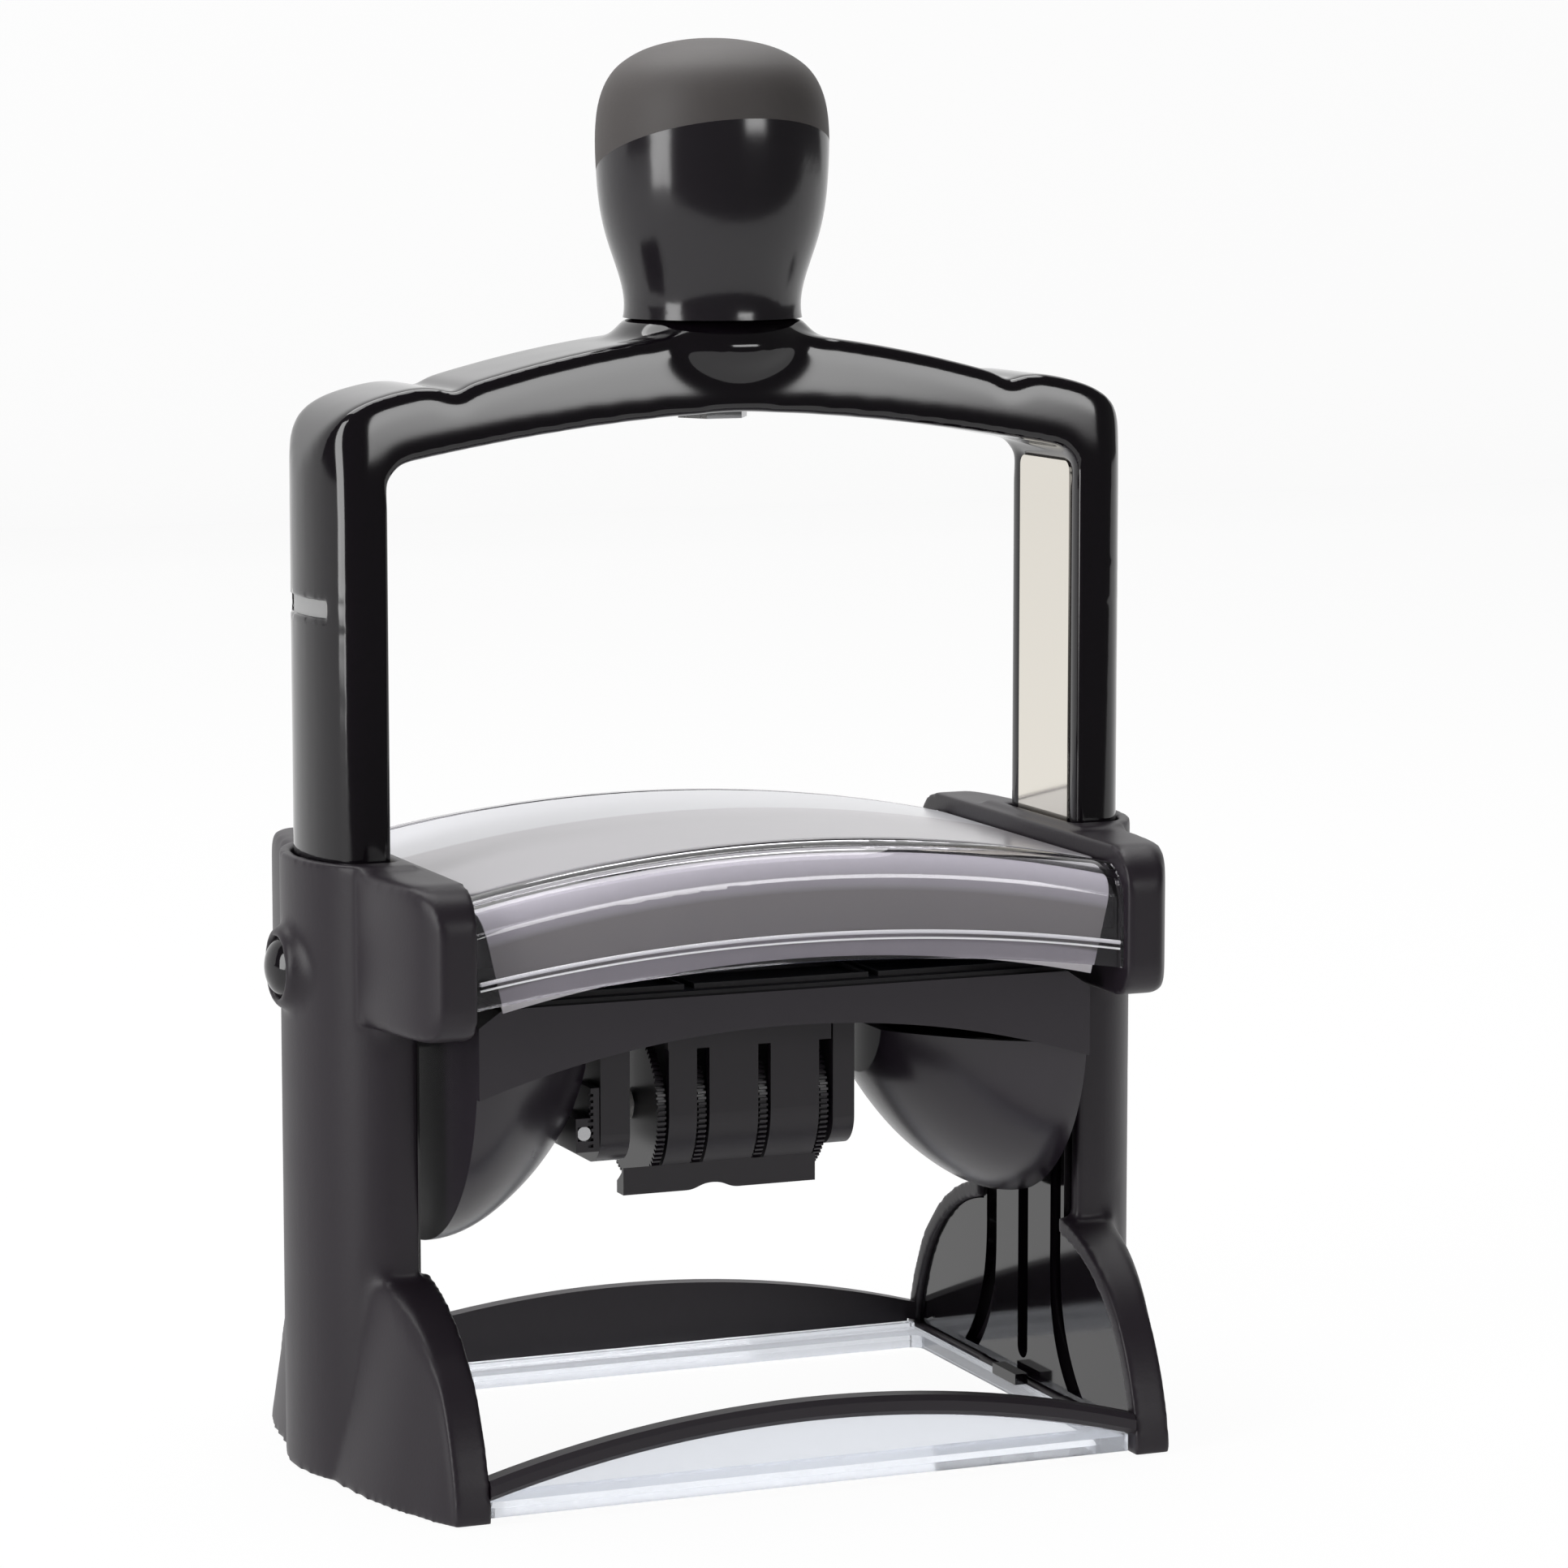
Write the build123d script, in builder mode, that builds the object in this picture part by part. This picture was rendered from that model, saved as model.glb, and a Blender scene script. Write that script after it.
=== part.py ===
from build123d import *
import math
import os

# Rotary date stamp: a two-column stand, a handle yoke that slides in the columns, and a
# carrier with the text plate and date bands that turns over between the yoke's legs.
# Axes: X from column to column, Y front (-) to back (+), Z up from the table. Units: mm.

os.makedirs("parts", exist_ok=True)

# ---------------------------------------------------------------- driving dimensions
travel = 50.0              # how far the yoke goes down
face_off = 9.5             # text plate face above the pivot
pivot_z = travel + face_off    # so that the face meets the table at full travel
face_z = pivot_z + face_off    # text plate face, facing up, at rest
rim_in_x = 48.0            # inner plane of feet and cheeks: sets the width of the stand
floor_t = 2.4              # floor of each column
fit = 0.35                 # leg in column, each side
run_fit = 0.10             # pin in hole, each side
seat = 0.15                # panels that drop into a pocket

# columns and their cheeks and feet
col_in_x = rim_in_x + 1.8
col_crease_x = rim_in_x + 4.0
col_out_x = rim_in_x + 15.2
col_half_y = 16.4
col_h = face_z + 17.2
rim_out_x = rim_in_x + 5.2
rim_w = 2.6
foot_half_y = 40.4
cheek_half_y = 36.4
cheek_z0 = face_z - 4.6
cheek_z1 = col_h - 0.6
panel_x0 = rim_in_x + 0.9  # inner lining of each column
panel_x1 = panel_x0 + 2.0
panel_half_y = 14.0
panel_top = cheek_z0 - 0.2
pin_r = 1.5
slot_half = pin_r + 0.2
lock_z = face_z + 1.6      # lock button axis
lock_r = 4.1

# yoke
leg_in_x = panel_x1 + 0.7
leg_flat_x = leg_in_x + 3.9
leg_out_x = col_out_x - 2.0
leg_half_y = 11.5
leg_z0 = pivot_z - 6.5
spring_x = leg_flat_x + 1.7
spring_bore = 3.2
spring_top = lock_z + 41.4
bar_z = face_z + travel + 19.0     # where the legs turn into the crossbar
strip_half_y = 8.3
strip_t = 1.0
notch_depth = 1.3
knob_z0 = bar_z + 21.0
knob_h = 38.8
bolt_r = 3.0

# cover and ink cartridge
cover_half_x = rim_in_x - 0.2
arch_mid = face_z + 19.5   # top surface at the middle and at the ends
arch_end = arch_mid - 5.3
window_y0 = 28.7
window_y1 = 35.0
window_t = 1.4
panel_t = 1.6
cart_half_x = cover_half_x - 4.4
cart_z0 = face_z + 5.2
cart_z1 = cart_z0 + 4.4
flange_z0 = cart_z0 + 2.0
flange_z1 = flange_z0 + 1.0

# carrier
car_half_x = rim_in_x - 2.5
text_t = 1.2
text_x = 2 * car_half_x - 6.0
text_y = 55.0
car_half_y = text_y / 2 + 1.6
car_top = face_z - text_t
deck_t = 2.2
car_wall = 2.0

# date unit
axle_z = pivot_z - 11.7
axle_r = 1.6
wheel_r = 11.2
wheel_t = 1.2
drum_r = 5.5
band_t = 1.3
band_gap = 0.3
teeth = 88
shell_r = 11.4
shell_t = 1.2
wheel_x = [-12.2, -6.1, 3.2, 12.5]
band_span = [(-11.5, -9.2), (-8.9, -6.8), (-5.4, 2.5), (4.0, 11.8)]
bracket_l = (-21.6, -17.2)
bracket_r = (13.6, 16.9)


# ---------------------------------------------------------------- shared outlines
def half_d(x0, x_flat, x1, half_y, grow=0.0):
    """Plan of a column or a leg: flat inside, elliptical outside."""
    with BuildSketch() as s:
        with Locations((x_flat, 0)):
            Ellipse(x1 - x_flat + grow, half_y + grow)
        with Locations((x_flat - 20, 0)):
            Rectangle(40, 90, mode=Mode.SUBTRACT)
        with Locations(((x0 - grow + x_flat) / 2, 0)):
            Rectangle(x_flat - x0 + grow, 2 * (half_y + grow))
    return s.sketch


def foot_outline(x, inset=0.0):
    """Side outline of a front and a rear foot together, drawn in by inset."""
    rise = [(0.272, 29.6), (0.396, 28.9), (0.532, 27.2), (0.668, 24.2), (0.787, 20.2),
            (0.874, 15.6), (0.9455, 9.6), (0.985, 4.4), (1.0, 0)]
    pts = [(-share * foot_half_y, z) for share, z in rise]
    shifted = [(pts[0][0], pts[0][1] - inset)]
    for a, b, c in zip(pts, pts[1:], pts[2:]):
        dy, dz = c[0] - a[0], c[1] - a[1]
        size = math.hypot(dy, dz)
        shifted.append((b[0] - inset * dz / size, b[1] + inset * dy / size))
    shifted.append((-foot_half_y + inset, 0))
    with BuildSketch(Plane.YZ.offset(x)) as s:
        with BuildLine():
            front = Spline(*shifted)
            back = Spline(*[(-y, z) for y, z in shifted])
            Line(front @ 1, back @ 1)
            Line(front @ 0, back @ 0)
        make_face()
        if inset:
            with Locations((0, inset / 2)):
                Rectangle(2 * foot_half_y, inset, mode=Mode.SUBTRACT)
    return s.sketch


def cheek_outline(x, inset=0.0):
    """Side outline of the cheek that holds one end of the cover."""
    with BuildSketch(Plane.YZ.offset(x)) as s:
        with Locations((0, (cheek_z0 + cheek_z1) / 2)):
            Rectangle(2 * (cheek_half_y - inset), cheek_z1 - cheek_z0 - 2 * inset)
        fillet(s.vertices().group_by(Axis.Y)[-1], 6.5)
        fillet(s.vertices().group_by(Axis.Y)[0], 5.0)
    return s.sketch


def side_plan(points, z):
    """Plan of an outward bulge, given for one side and mirrored front to back."""
    with BuildSketch(Plane.XY.offset(z)) as s:
        with BuildLine():
            one = Spline(*[(x, -y) for x, y in points])
            two = Spline(*points)
            Polyline(one @ 1, (rim_in_x - 3, -points[-1][1]), (rim_in_x - 3, points[-1][1]), two @ 1)
        make_face()
    return s.sketch


def arch_band(half_x, top_mid, top_end, low_mid, low_end, y):
    """Front view of an arched strip, drawn in the plane at y."""
    with BuildSketch(Plane.XZ.offset(-y)) as s:
        with BuildLine():
            top = ThreePointArc((-half_x, top_end), (0, top_mid), (half_x, top_end))
            if low_mid == low_end:
                low = Line((-half_x, low_end), (half_x, low_end))
            else:
                low = ThreePointArc((-half_x, low_end), (0, low_mid), (half_x, low_end))
            Line(top @ 0, low @ 0)
            Line(top @ 1, low @ 1)
        make_face()
    return s.sketch


def slab(x0, x1, y0, y1, z0, z1):
    """A box given by its limits."""
    size = Box(x1 - x0, y1 - y0, z1 - z0, mode=Mode.PRIVATE)
    return Pos((x0 + x1) / 2, (y0 + y1) / 2, (z0 + z1) / 2) * size


def rod(x0, x1, y, z, radius):
    """A cylinder along X."""
    bar = Cylinder(radius, x1 - x0, rotation=(0, 90, 0), mode=Mode.PRIVATE)
    return Pos((x0 + x1) / 2, y, z) * bar


# ---------------------------------------------------------------- stand: columns
wing_plan = [(rim_in_x + out, -share * foot_half_y) for out, share in
             [(12.9, 0), (12.6, 0.322), (11.6, 0.52), (10.2, 0.668), (8.3, 0.804), (6.3, 0.936),
              (4.8, 1.0)]]
cheek_plan = [(rim_in_x + out, -share * cheek_half_y) for out, share in
              [(9.8, 0), (9.8, 0.467), (9.3, 0.659), (8.2, 0.824), (6.4, 0.951), (4.8, 1.0)]]

wing_low = side_plan(wing_plan, 0)
wing_high = side_plan([(x - 4.9, y) for x, y in wing_plan], 31)
wing_bulge = loft([wing_low.face(), wing_high.face()]) & extrude(foot_outline(rim_in_x + 2), amount=14)

with BuildPart() as right_column:
    extrude(half_d(col_in_x, col_crease_x, col_out_x, col_half_y), amount=col_h)
    extrude(foot_outline(rim_in_x), amount=rim_out_x - rim_in_x)
    add(wing_bulge)
    extrude(cheek_outline(rim_in_x), amount=rim_out_x - rim_in_x)
    add(extrude(side_plan(cheek_plan, cheek_z0 - 4.4), amount=30, mode=Mode.PRIVATE)
        & extrude(cheek_outline(rim_in_x + 2), amount=10, mode=Mode.PRIVATE))
    with BuildSketch(Plane.XZ) as boss_profile:
        with BuildLine():
            flare = Spline((col_out_x - 2.6, lock_z + lock_r + 5.7), (col_out_x - 1.2, lock_z + lock_r + 3.5),
                           (col_out_x + 0.2, lock_z + lock_r + 2.1), (col_out_x + 1.5, lock_z + lock_r + 1.4))
            Polyline(flare @ 1, (col_out_x + 1.8, lock_z + lock_r + 1.0), (col_out_x + 1.8, lock_z),
                     (col_out_x - 5.2, lock_z), (col_out_x - 5.2, lock_z + lock_r + 5.7), flare @ 0)
        make_face()
    revolve(axis=Axis((0, 0, lock_z), (1, 0, 0)))
    add(extrude(half_d(leg_in_x, leg_flat_x, leg_out_x, leg_half_y, fit), amount=col_h + 5,
                mode=Mode.PRIVATE).moved(Location((0, 0, floor_t))), mode=Mode.SUBTRACT)
    half_gap = leg_half_y + fit
    add(slab(rim_in_x - 3, leg_flat_x, -half_gap, half_gap, floor_t, panel_top + 0.3),
        mode=Mode.SUBTRACT)
    add(slab(rim_in_x - 3, panel_x1, -panel_half_y, panel_half_y, floor_t, panel_top + 0.3),
        mode=Mode.SUBTRACT)
    extrude(foot_outline(rim_in_x - 1, rim_w), amount=panel_x1 - rim_in_x + 1,
            mode=Mode.SUBTRACT)
    add(rod(col_out_x - 3.2, col_out_x + 4.8, 0, lock_z, lock_r + seat), mode=Mode.SUBTRACT)
right_column.part.label = "right_column"
export_step(right_column.part, "parts/right_column.step")

with BuildPart() as left_column:
    mirror(right_column.part, about=Plane.YZ)
left_column.part.label = "left_column"
export_step(left_column.part, "parts/left_column.step")

# ---------------------------------------------------------------- stand: inner linings
with BuildPart() as right_lining:
    extrude(foot_outline(panel_x0, rim_w + seat), amount=panel_x1 - panel_x0)
    edge = panel_half_y - seat
    add(slab(panel_x0, panel_x1, -edge, edge, floor_t + 3, panel_top))
    for side in (-1, 1):
        ridge = [(9.3, panel_top), (9.3, 24), (9.5, 17), (10.6, 11.5), (12.8, 7), (15.6, 3.6)]
        outer = [(20.6, 3.6), (16.6, 8.4), (14.2, 13.4), (13.0, 19), (12.8, 25), (12.8, panel_top)]
        with BuildSketch(Plane.YZ.offset(panel_x0 - 2.0)) as ridge_face:
            with BuildLine():
                straight_in = Line((side * ridge[0][0], ridge[0][1]), (side * ridge[1][0], ridge[1][1]))
                flare_in = Spline(*[(side * y, z) for y, z in ridge[1:]])
                straight_out = Line((side * outer[-1][0], outer[-1][1]),
                                    (side * outer[-2][0], outer[-2][1]))
                flare_out = Spline(*[(side * y, z) for y, z in outer[:-1]])
                Line(flare_in @ 1, flare_out @ 0)
                Line(straight_in @ 0, straight_out @ 0)
            make_face()
        extrude(ridge_face.sketch.face() if side > 0 else -ridge_face.sketch.face(), amount=2.0,
                dir=(1, 0, 0))
    slot_z0, slot_z1 = pivot_z - travel - 4.3, pivot_z + 3.1
    with BuildSketch(Plane.YZ.offset(panel_x0 - 3)):
        with Locations((0, (slot_z0 + slot_z1) / 2)):
            SlotOverall(slot_z1 - slot_z0, 2 * slot_half, rotation=90)
    extrude(amount=8, mode=Mode.SUBTRACT)
right_lining.part.label = "right_lining"
export_step(right_lining.part, "parts/right_lining.step")

with BuildPart() as left_lining:
    mirror(right_lining.part, about=Plane.YZ)
left_lining.part.label = "left_lining"
export_step(left_lining.part, "parts/left_lining.step")

# ---------------------------------------------------------------- stand: base
bar_mid = 12.4             # arched bars, top and underside
bar_end = 5.8
bar_h = 2.8
bar_y1 = foot_half_y - 0.4
bar_y0 = bar_y1 - 3.1

with BuildPart() as front_bar:
    extrude(arch_band(rim_in_x, bar_mid, bar_end, bar_mid - bar_h, bar_end - bar_h, -bar_y0),
            amount=bar_y1 - bar_y0)
    chamfer(front_bar.edges().filter_by(GeomType.CIRCLE).group_by(Axis.Y)[0], 0.7)
front_bar.part.label = "front_bar"
export_step(front_bar.part, "parts/front_bar.step")

with BuildPart() as rear_bar:
    extrude(arch_band(rim_in_x, bar_mid, bar_end, bar_mid - bar_h, bar_end - bar_h, bar_y1),
            amount=bar_y1 - bar_y0)
    chamfer(rear_bar.edges().filter_by(GeomType.CIRCLE).group_by(Axis.Y)[-1], 0.7)
    extrude(arch_band(rim_in_x - 1.4, bar_mid - 0.8, bar_end - 0.6, 3.0, 3.0, bar_y0 + 1.6), amount=1.6)
rear_bar.part.label = "rear_bar"
export_step(rear_bar.part, "parts/rear_bar.step")

frame_half_x = rim_in_x - 0.4
frame_half_y = bar_y0 - 0.3
open_half_x = car_half_x + 0.5
open_half_y = frame_half_y - 5.6
frame_t = 2.2

with BuildPart() as positioning_window:
    with BuildSketch(Plane.XY.offset(0.3)):
        Rectangle(2 * frame_half_x, 2 * frame_half_y)
        RectangleRounded(2 * open_half_x, 2 * open_half_y, 2.0, mode=Mode.SUBTRACT)
    extrude(amount=frame_t - 0.3)
    extrude(arch_band(frame_half_x, bar_mid - bar_h - 0.3, bar_end - bar_h - 0.3, 0.3, 0.3,
                      -frame_half_y + 0.1), amount=1.6)
    add(slab(-frame_half_x, frame_half_x, frame_half_y - 0.1, bar_y0 + 1.5, 0.3, 2.7))
positioning_window.part.label = "positioning_window"
export_step(positioning_window.part, "parts/positioning_window.step")

with BuildPart() as frame_clips:
    for side in (-1, 1):
        ends = sorted((side * (car_half_x + 0.4), side * (rim_in_x - 0.1)))
        add(slab(ends[0], ends[1], -4.0, 4.0, frame_t, 3.8))
frame_clips.part.label = "frame_clips"
export_step(frame_clips.part, "parts/frame_clips.step")

# ---------------------------------------------------------------- stand: cover
with BuildPart() as pad_housing:
    deck_z0, deck_z1 = cart_z1 + 0.6, cart_z1 + 2.2
    add(slab(-cover_half_x, cover_half_x, -31, 31, deck_z0, deck_z1))
    add(slab(-cover_half_x, cover_half_x, -31, -29.5, cart_z0 - 0.2, deck_z0))
    for side in (-1, 1):
        ends = sorted((side * (cart_half_x + 0.4), side * cover_half_x))
        groove = sorted((side * (cart_half_x + 0.4), side * (cart_half_x + 2.5)))
        add(slab(ends[0], ends[1], -31, 31, cart_z0 + 0.3, deck_z0))
        add(slab(groove[0], groove[1], -29.5, 32, flange_z0 - 0.15, flange_z1 + 0.15),
            mode=Mode.SUBTRACT)
    for y in (-27.7, 28.6):
        extrude(arch_band(cover_half_x, arch_mid - 0.4, arch_end - 0.4, deck_z1, deck_z1, y),
                amount=0.9)
    for y in (-13.3, 0.7, 14.7):
        extrude(arch_band(cover_half_x - 0.2, arch_mid - panel_t, arch_end - panel_t, deck_z1,
                          deck_z1, y), amount=1.4)
pad_housing.part.label = "pad_housing"
export_step(pad_housing.part, "parts/pad_housing.step")

with BuildPart() as top_panel:
    extrude(arch_band(cover_half_x - 0.2, arch_mid, arch_end, arch_mid - panel_t,
                      arch_end - panel_t, 27.6), amount=55.2)
    fillet(top_panel.edges().filter_by(Axis.Z), 3.0)
    fillet(top_panel.faces().sort_by(Axis.Z)[-1].edges(), 0.5)
top_panel.part.label = "top_panel"
export_step(top_panel.part, "parts/top_panel.step")


def window_shell(low_mid, low_end):
    """Clear front of the cover, shown for the front side: a wall with a rounded shoulder."""
    depth = window_y1 - window_y0
    solid = extrude(arch_band(cover_half_x, arch_mid - 0.1, arch_end - 0.1, low_mid, low_end,
                              -window_y0), amount=depth)
    top_edge = solid.edges().filter_by(GeomType.CIRCLE).group_by(Axis.Y)[0].sort_by(Axis.Z)[-1]
    solid = fillet(top_edge, 5.4)
    core = extrude(arch_band(cover_half_x + 1, arch_mid - 0.1 - window_t, arch_end - 0.1 - window_t,
                             low_mid - 5, low_end - 5, -window_y0 + 1), amount=depth - window_t + 1)
    top_edge = core.edges().filter_by(GeomType.CIRCLE).group_by(Axis.Y)[0].sort_by(Axis.Z)[-1]
    return solid - fillet(top_edge, 4.0)


front_shell = window_shell(arch_mid - 16.0, arch_end - 14.4)
rear_shell = mirror(window_shell(arch_mid - 6.2, arch_end - 4.2), about=Plane.XZ)
bead_mid, bead_end = arch_mid - 12.0, arch_end - 10.6

with BuildPart() as front_window:
    add(front_shell)
    extrude(arch_band(cover_half_x - 0.4, bead_mid, bead_end, bead_mid - 0.7, bead_end - 0.7, -window_y1),
            amount=0.4)
front_window.part.label = "front_window"
export_step(front_window.part, "parts/front_window.step")

with BuildPart() as rear_window:
    add(rear_shell)
rear_window.part.label = "rear_window"
export_step(rear_window.part, "parts/rear_window.step")

with BuildPart() as index_card:
    extrude(arch_band(cover_half_x - 2, arch_mid - 5.7, arch_end - 5.6, bead_mid - 0.1, bead_end,
                      -window_y1 + window_t + 0.5), amount=0.4)
index_card.part.label = "index_card"
export_step(index_card.part, "parts/index_card.step")

with BuildPart() as ink_cartridge:
    add(slab(-cart_half_x, cart_half_x, -29.2, 31.5, cart_z0, cart_z1))
    add(slab(-cart_half_x - 2.2, cart_half_x + 2.2, -29.2, 31.5, flange_z0, flange_z1))
    add(slab(-cart_half_x + 1.2, cart_half_x - 1.2, -28.2, 28.2, cart_z0 - 1, cart_z0 + 3.2),
        mode=Mode.SUBTRACT)
    extrude(arch_band(cover_half_x - 1.2, arch_mid - 6.7, arch_end - 4.7, cart_z0 - 1.3, cart_z0 - 4.8,
                      34.6), amount=3.4)
    extrude(arch_band(20, cart_z1 + 1, cart_z1 + 0.2, cart_z0 + 1.4, cart_z0 + 0.6, 35.6), amount=1.0)
ink_cartridge.part.label = "ink_cartridge"
export_step(ink_cartridge.part, "parts/ink_cartridge.step")

with BuildPart() as ink_pad:
    add(slab(-cart_half_x + 1.3, cart_half_x - 1.3, -28.1, 28.1, cart_z0 - 0.3, cart_z0 + 3.2))
ink_pad.part.label = "ink_pad"
export_step(ink_pad.part, "parts/ink_pad.step")

# ---------------------------------------------------------------- lock buttons and springs
with BuildPart() as right_lock_button:
    with BuildSketch(Plane.XZ) as button_profile:
        with BuildLine():
            back, face = col_out_x - 0.3, col_out_x + 3.2
            Polyline((face - 2.0, lock_z + lock_r), (back, lock_z + lock_r), (back, lock_z), (face, lock_z))
            Spline((face, lock_z), (face - 0.3, lock_z + 0.44 * lock_r), (face - 1.0, lock_z + 0.78 * lock_r),
                   (face - 2.0, lock_z + lock_r), tangents=((0, 1), (-1.2, 1)))
        make_face()
    revolve(axis=Axis((0, 0, lock_z), (1, 0, 0)))
right_lock_button.part.label = "right_lock_button"
export_step(right_lock_button.part, "parts/right_lock_button.step")

with BuildPart() as left_lock_button:
    mirror(right_lock_button.part, about=Plane.YZ)
left_lock_button.part.label = "left_lock_button"
export_step(left_lock_button.part, "parts/left_lock_button.step")

wire_r = 0.45
coil_r = 2.3

with BuildPart() as right_return_spring:
    with BuildLine(Plane.XY.offset(floor_t + wire_r)) as coil:
        Helix(pitch=5.2, height=spring_top - floor_t - 2 * wire_r, radius=coil_r)
    with BuildSketch(Plane(origin=coil.line @ 0, z_dir=coil.line % 0)):
        Circle(wire_r)
    sweep(path=coil.line)
right_return_spring.part.position = (spring_x, 0, 0)
right_return_spring.part.label = "right_return_spring"
export_step(right_return_spring.part, "parts/right_return_spring.step")

with BuildPart() as left_return_spring:
    mirror(right_return_spring.part, about=Plane.YZ)
left_return_spring.part.label = "left_return_spring"
export_step(left_return_spring.part, "parts/left_return_spring.step")

# ---------------------------------------------------------------- yoke
with BuildPart() as yoke_frame:
    with BuildSketch(Plane.XZ.offset(-leg_half_y)) as beam:
        with BuildLine():
            ends = [(0, 0), (0.5, 4.0), (2.3, 7.6), (5.8, 10.3), (10.6, 11.9), (14.7, 12.6), (18.0, 12.4)]
            shoulder = Spline(*[(leg_out_x - x, bar_z + z) for x, z in ends])
            notch = Polyline(shoulder @ 1, (leg_out_x - 19.8, bar_z + 11.6), (leg_out_x - 21.8, bar_z + 13.0))
            crest = Spline(notch @ 1, (leg_out_x - 29.9, bar_z + 15.1), (20, bar_z + 17.4), (0, bar_z + 19.4))
            Line(crest @ 1, (0, bar_z + 8.2))
            belly = Spline((0, bar_z + 8.2), (17, bar_z + 7.1), (33, bar_z + 5.1), (leg_in_x - 1.8, bar_z + 2.2))
            Polyline(belly @ 1, (leg_in_x, bar_z), (leg_in_x, leg_z0), (leg_out_x, leg_z0),
                     (leg_out_x, bar_z))
        make_face()
    extrude(amount=2 * leg_half_y)
    mirror(about=Plane.YZ)
    with BuildSketch(Plane.XY.offset(leg_z0 - 1)):
        Rectangle(2 * leg_flat_x, 2 * leg_half_y)
        with Locations((leg_flat_x, 0), (-leg_flat_x, 0)):
            Ellipse(leg_out_x - leg_flat_x, leg_half_y)
    extrude(amount=bar_z + 30 - leg_z0, mode=Mode.INTERSECT)
    with BuildSketch(Plane.XZ):
        with BuildLine():
            neck_z0 = bar_z + 11.4
            neck = Spline((11.0, neck_z0), (12.4, neck_z0 + 2.2), (14.6, neck_z0 + 5.2), (14.9, neck_z0 + 6.6),
                          (13.6, neck_z0 + 8.1), (12.7, knob_z0))
            Polyline(neck @ 1, (0, knob_z0), (0, neck_z0), neck @ 0)
        make_face()
    revolve(axis=Axis.Z)
    for side in (-1, 1):
        recess = sorted((side * (leg_in_x - 1), side * (leg_in_x + strip_t)))
        add(slab(recess[0], recess[1], -strip_half_y - 0.05, strip_half_y + 0.05, leg_z0 + 1, bar_z),
            mode=Mode.SUBTRACT)
        with Locations((side * spring_x, 0, leg_z0)):
            Cylinder(spring_bore, spring_top - leg_z0, mode=Mode.SUBTRACT,
                     align=(Align.CENTER, Align.CENTER, Align.MIN))
        hole = sorted((side * (leg_in_x - 1.6), side * (leg_in_x + 2.2)))
        add(rod(hole[0], hole[1], 0, pivot_z, pin_r + run_fit), mode=Mode.SUBTRACT)
    skin = half_d(leg_in_x, leg_flat_x, leg_out_x, leg_half_y, 1.0)
    kern = half_d(leg_in_x, leg_flat_x, leg_out_x, leg_half_y, -notch_depth)
    ring = extrude(skin, amount=2.4, mode=Mode.PRIVATE) - extrude(kern, amount=2.4,
                                                                    mode=Mode.PRIVATE)
    ring = ring & slab(leg_flat_x, 70, -8, 8, 0, 2.4)
    ring = ring.moved(Location((0, 0, lock_z + travel - 1.2)))
    add(ring, mode=Mode.SUBTRACT)
    add(mirror(ring, about=Plane.YZ, mode=Mode.PRIVATE), mode=Mode.SUBTRACT)
    with Locations((0, 0, bar_z + 2)):
        Cylinder(6.6, 9.4, mode=Mode.SUBTRACT, align=(Align.CENTER, Align.CENTER, Align.MIN))
        Cylinder(bolt_r, 30, mode=Mode.SUBTRACT, align=(Align.CENTER, Align.CENTER, Align.MIN))
yoke_frame.part.label = "yoke_frame"
export_step(yoke_frame.part, "parts/yoke_frame.step")

keeper_out = half_d(leg_in_x, leg_flat_x, leg_out_x, leg_half_y, -0.5)
keeper_in = half_d(leg_in_x, leg_flat_x, leg_out_x, leg_half_y, -notch_depth)

with BuildPart() as right_lock_keeper:
    extrude(keeper_out, amount=2.4)
    extrude(keeper_in, amount=2.4, mode=Mode.SUBTRACT)
    add(slab(leg_flat_x, 70, -8, 8, 0, 2.4), mode=Mode.INTERSECT)
right_lock_keeper.part.position = (0, 0, lock_z + travel - 1.2)
right_lock_keeper.part.label = "right_lock_keeper"
export_step(right_lock_keeper.part, "parts/right_lock_keeper.step")

with BuildPart() as left_lock_keeper:
    mirror(right_lock_keeper.part, about=Plane.YZ)
left_lock_keeper.part.label = "left_lock_keeper"
export_step(left_lock_keeper.part, "parts/left_lock_keeper.step")

with BuildPart() as right_leg_plate:
    add(slab(leg_in_x, leg_in_x + strip_t, -strip_half_y, strip_half_y, leg_z0 + 1.1, bar_z - 0.1))
    fillet(right_leg_plate.edges().filter_by(Axis.X), 1.5)
    add(rod(leg_in_x - 1, leg_in_x + 2, 0, pivot_z, pin_r + run_fit), mode=Mode.SUBTRACT)
right_leg_plate.part.label = "right_leg_plate"
export_step(right_leg_plate.part, "parts/right_leg_plate.step")

with BuildPart() as left_leg_plate:
    mirror(right_leg_plate.part, about=Plane.YZ)
left_leg_plate.part.label = "left_leg_plate"
export_step(left_leg_plate.part, "parts/left_leg_plate.step")


def knob_solid():
    """Whole handle knob, before it is parted into a body and a soft cap."""
    with BuildSketch(Plane.XZ) as s:
        with BuildLine():
            wall = [(12.6, 0), (12.45, 2.4), (13.3, 6.4), (14.7, 10.6), (15.7, 14.8), (16.3, 21),
                    (16.3, 27), (15.9, 29.8), (14.9, 32.6), (12.6, 35.4)]
            side = Spline(*[(r, knob_z0 + z) for r, z in wall])
            crown = Spline(side @ 1, (8.7, knob_z0 + 37.5), (4.4, knob_z0 + 38.5), (0, knob_z0 + knob_h),
                           tangents=(side % 1, (-1, 0)))
            Polyline(crown @ 1, (0, knob_z0), side @ 0)
        make_face()
    return revolve(s.sketch, axis=Axis.Z)


knob_whole = knob_solid()
seam = Plane(origin=(0, 0, knob_z0 + 22.2), z_dir=(0, 0.34, 1))

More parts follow.
